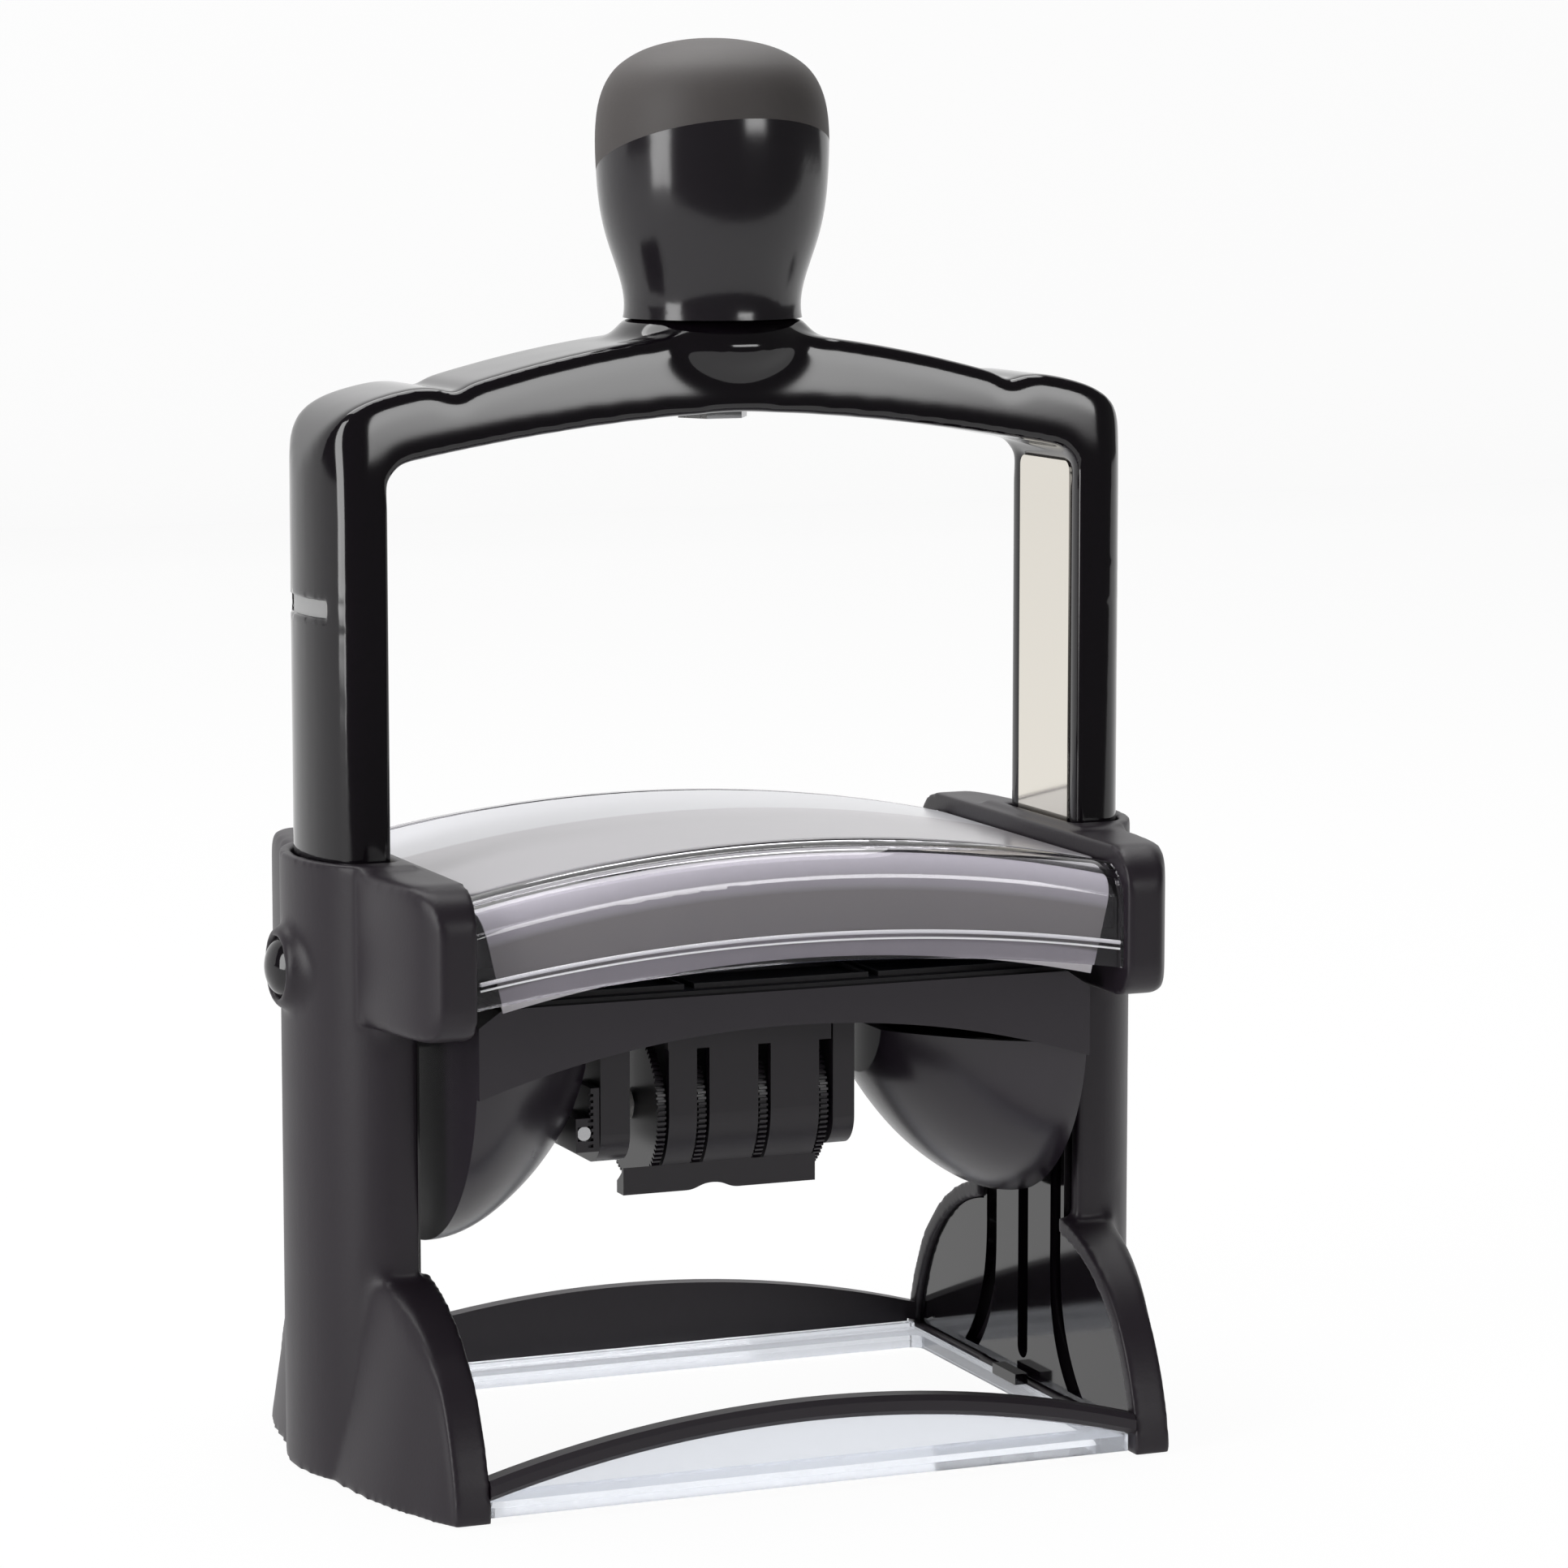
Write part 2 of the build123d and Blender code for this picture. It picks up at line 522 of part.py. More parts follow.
with BuildPart() as knob_body:
    add(split(knob_whole, bisect_by=seam, keep=Keep.BOTTOM))
    with Locations((0, 0, knob_z0)):
        Cylinder(bolt_r, 16, mode=Mode.SUBTRACT, align=(Align.CENTER, Align.CENTER, Align.MIN))
knob_body.part.label = "knob_body"
export_step(knob_body.part, "parts/knob_body.step")

with BuildPart() as knob_cap:
    add(split(knob_whole, bisect_by=seam, keep=Keep.TOP))
knob_cap.part.label = "knob_cap"
export_step(knob_cap.part, "parts/knob_cap.step")

with BuildPart() as handle_bolt:
    with BuildSketch(Plane.XY.offset(bar_z + 7.0)):
        RegularPolygon(5.2, 6)
    extrude(amount=3.4)
    with Locations((0, 0, bar_z + 10.4)):
        Cylinder(6.2, 1.0, align=(Align.CENTER, Align.CENTER, Align.MIN))
        Cylinder(bolt_r, 26, align=(Align.CENTER, Align.CENTER, Align.MIN))
handle_bolt.part.label = "handle_bolt"
export_step(handle_bolt.part, "parts/handle_bolt.step")

# ---------------------------------------------------------------- carrier
lobe_r = car_half_y - 0.8
lobe_x0 = 22.0
lobe_shape = [(0, 0.336), (0.106, 0.473), (0.234, 0.608), (0.383, 0.739), (0.553, 0.855), (0.723, 0.943),
              (0.872, 0.989), (1.0, 1.0)]
lobe_profile = [(lobe_x0 + along * (car_half_x - lobe_x0), share * lobe_r) for along, share in lobe_shape]


def lobe_solid(x_end, thin):
    """Bowl-shaped end of the carrier, turned about the pivot axis."""
    with BuildSketch(Plane.XZ) as s:
        with BuildLine():
            curve = Spline(*[(x, pivot_z + r - thin) for x, r in lobe_profile if x <= x_end + 3])
            end = curve @ 1
            Polyline(end, (end.X, pivot_z), (lobe_profile[0][0], pivot_z), curve @ 0)
        make_face()
    return revolve(s.sketch, axis=Axis((0, 0, pivot_z), (1, 0, 0)))


lobe_out = lobe_solid(car_half_x, 0)
lobe_in = lobe_solid(car_half_x, 1.8) & slab(lobe_x0 + 1.8, car_half_x - car_wall, -40, 40, 0, 100)

with BuildPart() as carrier_shell:
    with BuildSketch(Plane.XZ.offset(-car_half_y)):
        with BuildLine():
            low_end, low_mid = pivot_z - 4.0, pivot_z + 3.4
            low = ThreePointArc((-car_half_x, low_end), (0, low_mid), (car_half_x, low_end))
            Polyline(low @ 1, (car_half_x, car_top - 2.4), (car_half_x - 3.5, car_top),
                     (3.5 - car_half_x, car_top), (-car_half_x, car_top - 2.4), low @ 0)
        make_face()
    extrude(amount=2 * car_half_y)
    for lobe in (lobe_out, mirror(lobe_out, about=Plane.YZ, mode=Mode.PRIVATE)):
        add(lobe & slab(-60, 60, -40, 40, 20, pivot_z + 2.5))
    inner_x = car_half_x - car_wall
    inner_y = car_half_y - car_wall
    add(slab(-inner_x, inner_x, -inner_y, inner_y, pivot_z - 2.0, car_top - deck_t), mode=Mode.SUBTRACT)
    for lobe in (lobe_in, mirror(lobe_in, about=Plane.YZ, mode=Mode.PRIVATE)):
        add(lobe & slab(-60, 60, -40, 40, 20, pivot_z + 2.5), mode=Mode.SUBTRACT)
    add(slab(-13.2, 13.6, -5.0, 5.0, pivot_z + 0.5, face_z + 11), mode=Mode.SUBTRACT)
    add(slab(-25.6, -20, -12.2, 12.2, 40, car_top - deck_t), mode=Mode.SUBTRACT)
    for side in (-1, 1):
        hole = sorted((side * (car_half_x - 5.5), side * (car_half_x + 4.5)))
        add(rod(hole[0], hole[1], 0, pivot_z, pin_r), mode=Mode.SUBTRACT)
carrier_shell.part.label = "carrier_shell"
export_step(carrier_shell.part, "parts/carrier_shell.step")

with BuildPart() as right_pivot_pin:
    add(rod(car_half_x - 3.1, leg_in_x + 1.8, 0, pivot_z, pin_r))
    add(rod(car_half_x - 3.1, car_half_x - 2.1, 0, pivot_z, pin_r + 1.1))
    chamfer(right_pivot_pin.faces().sort_by(Axis.X)[-1].edges(), 0.3)
right_pivot_pin.part.label = "right_pivot_pin"
export_step(right_pivot_pin.part, "parts/right_pivot_pin.step")

with BuildPart() as left_pivot_pin:
    mirror(right_pivot_pin.part, about=Plane.YZ)
left_pivot_pin.part.label = "left_pivot_pin"
export_step(left_pivot_pin.part, "parts/left_pivot_pin.step")

with BuildPart() as text_plate:
    add(slab(-text_x / 2, text_x / 2, -text_y / 2, text_y / 2, car_top, car_top + 0.5))
    add(slab(-12.6, 13.0, -4.3, 4.3, car_top - 5, face_z + 5), mode=Mode.SUBTRACT)
    for y, half in ((23.4, 39), (18.6, 32), (14.4, 26), (10.2, 20), (-10.5, 30)):
        add(slab(-half, half, y - 1.1, y + 1.1, car_top + 0.5, face_z))
    for x in (-27.5, 0, 27.5):
        with BuildSketch(Plane.XY.offset(car_top + 0.5)):
            with Locations((x, -19.8)):
                Rectangle(26, 11.6)
                Rectangle(25, 10.6, mode=Mode.SUBTRACT)
        extrude(amount=face_z - car_top - 0.5)
text_plate.part.label = "text_plate"
export_step(text_plate.part, "parts/text_plate.step")

# ---------------------------------------------------------------- date unit
unit_top = car_top - deck_t

with BuildPart() as date_shell:
    with BuildSketch(Plane.YZ.offset(-11.4)):
        with Locations((0, axle_z)):
            Circle(shell_r)
            Circle(shell_r - shell_t, mode=Mode.SUBTRACT)
        with Locations((0, axle_z + 20)):
            Rectangle(60, 40, mode=Mode.SUBTRACT)
        for side in (-1, 1):
            with Locations((side * (shell_r - shell_t / 2), (axle_z + unit_top) / 2)):
                Rectangle(shell_t, unit_top - axle_z)
        with Locations((0, axle_z - 11.8)):
            Rectangle(11, 8, mode=Mode.SUBTRACT)
    extrude(amount=24.8)
    for x in wheel_x:
        add(slab(x - 0.95, x + 0.95, -20, 20, 30, axle_z + 9.4), mode=Mode.SUBTRACT)
    add(slab(12.7, 13.4, -shell_r, shell_r, unit_top - 4.1, unit_top))
    add(slab(12.6, 13.6, -2.35, 2.35, axle_z + 7.2, face_z - 1), mode=Mode.SUBTRACT)
    add(slab(-11.4, 13.4, -shell_r, -4.6, unit_top - 1, unit_top))
    add(slab(-11.4, 13.4, 4.6, shell_r, unit_top - 1, unit_top))
date_shell.part.label = "date_shell"
export_step(date_shell.part, "parts/date_shell.step")


def bracket_outline(x):
    """Side plate of the date unit."""
    with BuildSketch(Plane.YZ.offset(x)) as s:
        with Locations((0, (axle_z - 6.4 + unit_top) / 2)):
            Rectangle(23.2, unit_top - axle_z + 6.4)
        fillet(s.vertices().group_by(Axis.Y)[0], 4.5)
        with Locations((0, axle_z)):
            Circle(axle_r, mode=Mode.SUBTRACT)
    return s.sketch


with BuildPart() as left_bracket:
    extrude(bracket_outline(bracket_l[0]), amount=bracket_l[1] - bracket_l[0])
left_bracket.part.label = "left_bracket"
export_step(left_bracket.part, "parts/left_bracket.step")

with BuildPart() as right_bracket:
    extrude(bracket_outline(bracket_r[0]), amount=bracket_r[1] - bracket_r[0])
right_bracket.part.label = "right_bracket"
export_step(right_bracket.part, "parts/right_bracket.step")

with BuildPart() as lip_bar:
    with BuildSketch(Plane.XZ.offset(6.0)):
        with BuildLine():
            lip_z = axle_z - shell_r
            Polyline((-17.1, lip_z + 4.4), (-17.1, lip_z), (-7.6, lip_z))
            Spline((-7.6, lip_z), (-5.0, lip_z + 0.7), (-2.2, lip_z + 0.7), (0.4, lip_z),
                   tangents=((1, 0), (1, 0)))
            Polyline((0.4, lip_z), (12.1, lip_z), (12.1, lip_z + 4.4), (-17.1, lip_z + 4.4))
        make_face()
    extrude(amount=2.6)
    add(rod(-30, 30, 0, axle_z, shell_r), mode=Mode.SUBTRACT)
lip_bar.part.label = "lip_bar"
export_step(lip_bar.part, "parts/lip_bar.step")

with BuildPart() as date_axle:
    add(rod(bracket_l[0] - 0.3, bracket_r[1] + 0.3, 0, axle_z, axle_r))
date_axle.part.label = "date_axle"
export_step(date_axle.part, "parts/date_axle.step")

with BuildPart() as nose_bar:
    nose_top = car_top - 0.6
    add(slab(-12.6, 12.6, -2.3, 2.3, nose_top - 8.2, nose_top))
    fillet(nose_bar.edges().filter_by(Axis.X).group_by(Axis.Z)[-1], 1.2)
    add(slab(-17.2, 13.6, -2.3, 2.3, nose_top - 8.2, unit_top - 0.3))
nose_bar.part.label = "nose_bar"
export_step(nose_bar.part, "parts/nose_bar.step")

with BuildPart() as axle_bushing:
    add(rod(-17.1, -13.1, 0, axle_z, axle_r + 0.7))
    add(rod(-18, -12, 0, axle_z, axle_r), mode=Mode.SUBTRACT)
axle_bushing.part.label = "axle_bushing"
export_step(axle_bushing.part, "parts/axle_bushing.step")

with BuildPart() as height_clip:
    clip_z = axle_z - 4.2
    add(slab(-25.2, -21.7, -11.4, -4.0, clip_z, clip_z + 4.8))
    add(slab(-23.0, -21.7, -11.4, -4.0, clip_z + 4.8, clip_z + 9.0))
    add(slab(-24.9, -22.9, -12.0, -5.0, clip_z + 1.6, clip_z + 3.6), mode=Mode.SUBTRACT)
    for k in range(9):
        z = clip_z + 0.6 + k * 0.9
        add(slab(-23.4, -22.6, -12.0, -10.8, z, z + 0.45), mode=Mode.SUBTRACT)
height_clip.part.label = "height_clip"
export_step(height_clip.part, "parts/height_clip.step")

with BuildPart() as clip_pin:
    with BuildSketch(Plane.XZ.offset(5.0)):
        with Locations((-23.9, clip_z + 2.6)):
            Circle(1.0)
    extrude(amount=6.2)
clip_pin.part.label = "clip_pin"
export_step(clip_pin.part, "parts/clip_pin.step")


def band_loop(x0, x1):
    """Rubber band round a drum and over the nose bar, with a raised print block."""
    loops = []
    for grow in (band_t, 0.0):
        half = 2.35 + grow
        top = nose_top + 0.05 + grow
        with BuildSketch(Plane.YZ.offset(x0)) as s:
            with Locations((0, axle_z)):
                Circle(drum_r + band_gap + grow)
            with Locations((-half + 1.2, top - 1.2), (half - 1.2, top - 1.2)):
                Circle(1.2)
            make_hull()
        loops.append(extrude(s.sketch, amount=x1 - x0))
    block = slab(x0 + 0.3, x1 - 0.3, -2.0, 2.0, nose_top + band_t - 0.15, face_z)
    return loops[0] - loops[1] + block


def tooth_ring():
    """Outline of a thumbwheel rim with square teeth."""
    points = []
    for k in range(teeth):
        for part, radius in ((0.0, wheel_r - 0.55), (0.08, wheel_r), (0.5, wheel_r),
                             (0.58, wheel_r - 0.55)):
            angle = 2 * math.pi * (k + part) / teeth
            points.append((radius * math.cos(angle), axle_z + radius * math.sin(angle)))
    return points


ring_points = tooth_ring()
names = ["day_tens", "day_units", "month", "year"]

for name, x, span in zip(names, wheel_x, band_span):
    with BuildPart() as thumbwheel:
        with BuildSketch(Plane.YZ.offset(x - wheel_t / 2)):
            with BuildLine():
                Polyline(*ring_points, close=True)
            make_face()
        extrude(amount=wheel_t)
        drum = (min(span[0], x), max(span[1], x))
        add(rod(drum[0], drum[1], 0, axle_z, drum_r))
        add(rod(-30, 30, 0, axle_z, axle_r + run_fit), mode=Mode.SUBTRACT)
    thumbwheel.part.label = name + "_wheel"
    export_step(thumbwheel.part, "parts/" + name + "_wheel.step")

for name, span in zip(names, band_span):
    loop = band_loop(span[0], span[1])
    with BuildPart() as date_band:
        add(loop)
    date_band.part.label = name + "_band"
    export_step(date_band.part, "parts/" + name + "_band.step")
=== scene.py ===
# %% [markdown]
# # Rotary date stamp
# A two-column stand, a yoke with a knob that is pressed down, and a carrier that turns
# over between the yoke's legs and prints. The design arrives as a fixed frame: every
# part has its place already, so this lesson only gives each part its real surface, and
# models again the pieces whose moulded edges need more softness than the frame holds.

# %% Load the frame
import bpy
import math
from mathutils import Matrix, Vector


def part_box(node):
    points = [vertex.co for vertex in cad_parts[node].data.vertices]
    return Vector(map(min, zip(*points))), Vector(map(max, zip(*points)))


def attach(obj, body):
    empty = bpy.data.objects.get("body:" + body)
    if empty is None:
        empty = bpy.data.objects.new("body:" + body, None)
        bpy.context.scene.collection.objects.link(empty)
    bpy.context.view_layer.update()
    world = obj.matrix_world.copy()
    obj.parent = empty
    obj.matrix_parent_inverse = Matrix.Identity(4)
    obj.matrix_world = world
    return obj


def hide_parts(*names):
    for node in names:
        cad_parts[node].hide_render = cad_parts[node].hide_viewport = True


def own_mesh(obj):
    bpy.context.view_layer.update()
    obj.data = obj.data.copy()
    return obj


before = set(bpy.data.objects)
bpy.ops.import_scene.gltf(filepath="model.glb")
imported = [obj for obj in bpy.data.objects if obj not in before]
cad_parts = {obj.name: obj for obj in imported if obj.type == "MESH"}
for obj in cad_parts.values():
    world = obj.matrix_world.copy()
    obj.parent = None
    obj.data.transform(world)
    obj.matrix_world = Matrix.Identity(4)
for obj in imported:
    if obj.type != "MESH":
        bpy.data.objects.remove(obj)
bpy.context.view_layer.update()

# %% [markdown]
# ## Small helpers
# Sizes are easier to read in millimetres, colours in sRGB hex. Blender wants metres and
# linear light, so two short functions turn one into the other.

# %% Units and colours
MM = 0.001


def linear(hex_colour):
    """Turns an sRGB hex colour into the linear colour that a shader takes."""
    channels = [int(hex_colour[i:i + 2], 16) / 255 for i in (1, 3, 5)]
    bent = [c / 12.92 if c <= 0.04045 else ((c + 0.055) / 1.055) ** 2.4 for c in channels]
    return (*bent, 1.0)


print("mid grey is", [round(c, 3) for c in linear("#808080")])

# %% [markdown]
# ## Building materials
# A material is a small network of nodes. One function adds a node, sets it and links it.
# Patterns are laid out in Object coordinates, which are metres here, so a noise scale of
# 1000 divided by a size in millimetres draws grains of that size.

# %% Node helpers
def add_node(tree, kind, inputs=None, **settings):
    """Adds one node; an input is a value or another node's output."""
    made = tree.nodes.new("ShaderNode" + kind)
    for name, value in settings.items():
        setattr(made, name, value)
    for name, value in (inputs or {}).items():
        if isinstance(value, bpy.types.NodeSocket):
            tree.links.new(value, made.inputs[name])
        else:
            made.inputs[name].default_value = value
    return made


def start_material(name):
    """An empty material with its pattern coordinates and its output node."""
    material = bpy.data.materials.new(name)
    material.use_nodes = True
    tree = material.node_tree
    tree.nodes.clear()
    where = add_node(tree, "TexCoord").outputs["Object"]
    return material, tree, where


def finish_material(tree, shader):
    """Links the shader to the output."""
    add_node(tree, "OutputMaterial", {"Surface": shader.outputs["BSDF"]})


# %% [markdown]
# ## Moulded plastics
# Most of the stamp is injection-moulded ABS. What the eye sees is the mould: a polished
# mould gives gloss with a faint orange peel, a spark-eroded one gives a fine, even grain.
# So one recipe serves all of them: a body colour that drifts a little, a roughness that
# drifts with it, and a bump whose grain has the size of the mould's texture.

# %% Moulded plastic recipe
def moulded_plastic(name, colour, drift, roughness, grain_mm, depth_mm, wave_mm=0.0, wave_depth=0.0,
                    shine=0.5):
    material, tree, where = start_material(name)
    cloud = add_node(tree, "TexNoise", {"Vector": where, "Scale": 1000 / 18, "Detail": 3.0})
    tint = add_node(tree, "Mix", {"Factor": cloud.outputs["Fac"], "A": linear(colour),
                                  "B": linear(drift)}, data_type="RGBA")
    grain = add_node(tree, "TexNoise", {"Vector": where, "Scale": 1000 / grain_mm, "Detail": 2.0})
    dull = add_node(tree, "MapRange", {"Value": cloud.outputs["Fac"], "To Min": roughness * 0.9,
                                       "To Max": roughness * 1.12})
    fine = add_node(tree, "Bump", {"Height": grain.outputs["Fac"], "Distance": depth_mm * MM,
                                   "Strength": 1.0})
    normal = fine.outputs["Normal"]
    if wave_mm:
        peel = add_node(tree, "TexNoise", {"Vector": where, "Scale": 1000 / wave_mm, "Detail": 0.0})
        normal = add_node(tree, "Bump", {"Height": peel.outputs["Fac"], "Strength": 1.0,
                                         "Distance": wave_depth * MM, "Normal": normal}).outputs["Normal"]
    shader = add_node(tree, "BsdfPrincipled", {
        "Base Color": tint.outputs["Result"], "Roughness": dull.outputs["Result"], "IOR": 1.5,
        "Specular IOR Level": shine, "Normal": normal})
    finish_material(tree, shader)
    return material


spark_abs = moulded_plastic("spark_eroded_abs", "#1c161d", "#211b22", 0.42, 0.45, 0.012, shine=0.35)
gloss_abs = moulded_plastic("polished_black_abs", "#0b070c", "#0e0a0f", 0.09, 0.5, 0.0003, 9.0, 0.002)
knob_abs = moulded_plastic("polished_knob_abs", "#1a171b", "#1e1b1f", 0.16, 0.5, 0.0003, 9.0, 0.002)
satin_abs = moulded_plastic("satin_black_abs", "#1b161c", "#201b21", 0.32, 0.5, 0.003, shine=0.4)
carrier_abs = moulded_plastic("carrier_black_abs", "#1d181f", "#221c24", 0.26, 0.5, 0.0015, 14.0, 0.004)
keeper_pom = moulded_plastic("grey_acetal", "#8b8b8b", "#929292", 0.35, 0.5, 0.002)
white_pom = moulded_plastic("white_acetal", "#c9c7c4", "#d2d0cc", 0.35, 0.5, 0.002)
soft_grip = moulded_plastic("soft_touch_grip", "#3f3b3a", "#454140", 0.60, 0.45, 0.012)
print("plastics:", [m.name for m in bpy.data.materials if m.name.endswith("abs")])

# %% [markdown]
# ## The top panel
# The panel on top of the cover is a pearl grey moulding. Along its back edge runs a band in
# a lighter grey, so its colour changes with the distance from front to back. The step lies
# between two stops of a colour ramp that are close together.

# %% Panel with a pale band
def panel_material():
    material, tree, where = start_material("pearl_grey_abs")
    low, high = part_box("top_panel")
    place = add_node(tree, "SeparateXYZ", {"Vector": where})
    share = add_node(tree, "MapRange", {"Value": place.outputs["Y"], "From Min": low.y,
                                        "From Max": high.y})
    band = add_node(tree, "ValToRGB", {"Fac": share.outputs["Result"]})
    stops = band.color_ramp.elements
    stops[0].position, stops[0].color = 0.60, linear("#aba8ad")
    stops[1].position, stops[1].color = 0.62, linear("#c6c6cb")
    cloud = add_node(tree, "TexNoise", {"Vector": where, "Scale": 1000 / 14, "Detail": 3.0})
    dull = add_node(tree, "MapRange", {"Value": cloud.outputs["Fac"], "To Min": 0.17, "To Max": 0.23})
    grain = add_node(tree, "TexNoise", {"Vector": where, "Scale": 1000 / 0.5, "Detail": 2.0})
    fine = add_node(tree, "Bump", {"Height": grain.outputs["Fac"], "Distance": 0.0005 * MM,
                                   "Strength": 1.0})
    shader = add_node(tree, "BsdfPrincipled", {
        "Base Color": band.outputs["Color"], "Roughness": dull.outputs["Result"], "IOR": 1.5,
        "Normal": fine.outputs["Normal"]})
    finish_material(tree, shader)
    return material


# %% [markdown]
# ## Clear acrylic
# The front of the cover and the frame on the table are acrylic. Acrylic is a smooth
# dielectric with an IOR of 1.49; a whisper of mould waviness keeps it from looking like
# perfect optical glass. The window has a smoke grey tint. The frame on the table is nearly
# white and a little milky, so it lets less through.

# %% Clear acrylic
def clear_acrylic(name, tint, roughness, clearness):
    material, tree, where = start_material(name)
    peel = add_node(tree, "TexNoise", {"Vector": where, "Scale": 1000 / 12, "Detail": 0.0})
    wave = add_node(tree, "Bump", {"Height": peel.outputs["Fac"], "Distance": 0.001 * MM,
                                   "Strength": 1.0})
    shader = add_node(tree, "BsdfPrincipled", {
        "Base Color": linear(tint), "Roughness": roughness, "IOR": 1.49,
        "Transmission Weight": clearness, "Normal": wave.outputs["Normal"]})
    finish_material(tree, shader)
    return material


window_acrylic = clear_acrylic("window_acrylic", "#c2c0c5", 0.02, 1.0)
table_acrylic = clear_acrylic("table_frame_acrylic", "#f1f4fa", 0.05, 0.8)
print("acrylics:", window_acrylic.name, table_acrylic.name)

# %% [markdown]
# ## Paper, rubber and felt
# The card behind the window is uncoated paper with a fibre grain. The text plate and the
# date bands are moulded rubber with a dull, slightly dusty skin. The ink pad is felt, soaked
# dark, with a fibre nap.

# %% Fibre and rubber recipe
def fibrous(name, colour, drift, roughness, fibre_mm, depth_mm, stretch=(1.0, 1.0, 1.0)):
    material, tree, where = start_material(name)
    turned = add_node(tree, "Mapping", {"Vector": where, "Scale": stretch})
    fibre = add_node(tree, "TexNoise", {"Vector": turned.outputs["Vector"],
                                        "Scale": 1000 / fibre_mm, "Detail": 4.0, "Roughness": 0.6})
    tint = add_node(tree, "Mix", {"Factor": fibre.outputs["Fac"], "A": linear(colour),
                                  "B": linear(drift)}, data_type="RGBA")
    nap = add_node(tree, "Bump", {"Height": fibre.outputs["Fac"], "Distance": depth_mm * MM,
                                  "Strength": 1.0})
    shader = add_node(tree, "BsdfPrincipled", {
        "Base Color": tint.outputs["Result"], "Roughness": roughness, "IOR": 1.45,
        "Normal": nap.outputs["Normal"]})
    finish_material(tree, shader)
    return material


card_paper = fibrous("uncoated_card", "#7a7876", "#807e7c", 0.75, 0.5, 0.002)
stamp_rubber = fibrous("stamp_rubber", "#2c2b2d", "#39383a", 0.62, 0.6, 0.010)
pad_felt = fibrous("inked_felt", "#0f1838", "#1b2752", 0.90, 0.35, 0.060, (1.0, 2.2, 1.0))

# %% [markdown]
# ## Metals
# The strip on the inside of each leg is polished steel, the springs, pins and the bolt are
# drawn steel. Drawing leaves fine lines along the length, so the noise that drives the
# roughness is stretched the same way.

# %% Metal recipe
def drawn_metal(name, colour, roughness, line_mm, stretch):
    material, tree, where = start_material(name)
    drawn = add_node(tree, "Mapping", {"Vector": where, "Scale": stretch})
    lines = add_node(tree, "TexNoise", {"Vector": drawn.outputs["Vector"], "Scale": 1000 / line_mm,
                                        "Detail": 3.0})
    dull = add_node(tree, "MapRange", {"Value": lines.outputs["Fac"], "To Min": roughness * 0.75,
                                       "To Max": roughness * 1.3})
    scratch = add_node(tree, "Bump", {"Height": lines.outputs["Fac"], "Distance": 0.0006 * MM,
                                      "Strength": 1.0})
    shader = add_node(tree, "BsdfPrincipled", {
        "Base Color": linear(colour), "Metallic": 1.0, "Roughness": dull.outputs["Result"],
        "Normal": scratch.outputs["Normal"]})
    finish_material(tree, shader)
    return material


polished_steel = drawn_metal("polished_steel_strip", "#e2ddd3", 0.07, 0.4, (1.0, 1.0, 0.04))
drawn_steel = drawn_metal("drawn_steel", "#b4b4b6", 0.28, 0.3, (0.05, 1.0, 1.0))

# %% [markdown]
# ## Dressing the frame's own parts
# Most parts keep the shape that the frame gives them, so only their material changes.

# %% Give every part its material
dressed = set()


def dress(material, *names):
    for name in names:
        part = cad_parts[name]
        dressed.add(name)
        if part.material_slots:
            part.material_slots[0].material = material
        else:
            part.data.materials.append(material)


def both(name):
    return ["left_" + name, "right_" + name]


bands = ["day_tens", "day_units", "month", "year"]
dress(spark_abs, "front_bar", "rear_bar", *both("column"))
dress(gloss_abs, "yoke_frame", "frame_clips", *both("lining"), *both("lock_button"))
dress(knob_abs, "knob_body")
dress(soft_grip, "knob_cap")
dress(panel_material(), "top_panel")
dress(window_acrylic, "front_window", "rear_window")
dress(table_acrylic, "positioning_window")
for clear in ("front_window", "rear_window", "positioning_window"):
    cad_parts[clear].visible_shadow = False
dress(card_paper, "index_card")
dress(carrier_abs, "carrier_shell")
dress(satin_abs, "pad_housing", "ink_cartridge", "date_shell", "lip_bar", "nose_bar", "height_clip",
      *both("bracket"), *[b + "_wheel" for b in bands])
dress(polished_steel, *both("leg_plate"))
dress(drawn_steel, "handle_bolt", "date_axle", "clip_pin", *both("return_spring"),
      *both("pivot_pin"))
dress(stamp_rubber, "text_plate", *[b + "_band" for b in bands])
dress(pad_felt, "ink_pad")
dress(white_pom, "axle_bushing")
dress(keeper_pom, *both("lock_keeper"))
print("parts dressed:", len(dressed), "left bare:", sorted(set(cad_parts) - dressed))

# %% [markdown]
# ## Softer mouldings
# The frame's mouldings have knife edges. Real ones are rounded, because plastic doesn't
# fill a sharp corner and a hand wouldn't like it. The frame is never altered, so a copy of
# a part is worked on and stands for it. The copy's loose triangles are merged first.

# %% Copy a part to work on
def select_only(piece):
    bpy.ops.object.select_all(action="DESELECT")
    piece.select_set(True)
    bpy.context.view_layer.objects.active = piece


def merged_copy(node, name):
    made = bpy.data.objects.new(name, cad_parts[node].data.copy())
    bpy.context.scene.collection.objects.link(made)
    select_only(made)
    bpy.ops.mesh.customdata_custom_splitnormals_clear()
    bpy.ops.object.mode_set(mode="EDIT")
    bpy.ops.mesh.select_all(action="SELECT")
    bpy.ops.mesh.remove_doubles(threshold=0.002 * MM)
    bpy.ops.object.mode_set(mode="OBJECT")
    return made


def stand_for(piece, node, body, material):
    """The piece takes the place of a frame part on its body, in its finish."""
    piece.data.materials.clear()
    piece.data.materials.append(material)
    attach(piece, body)
    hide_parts(node)


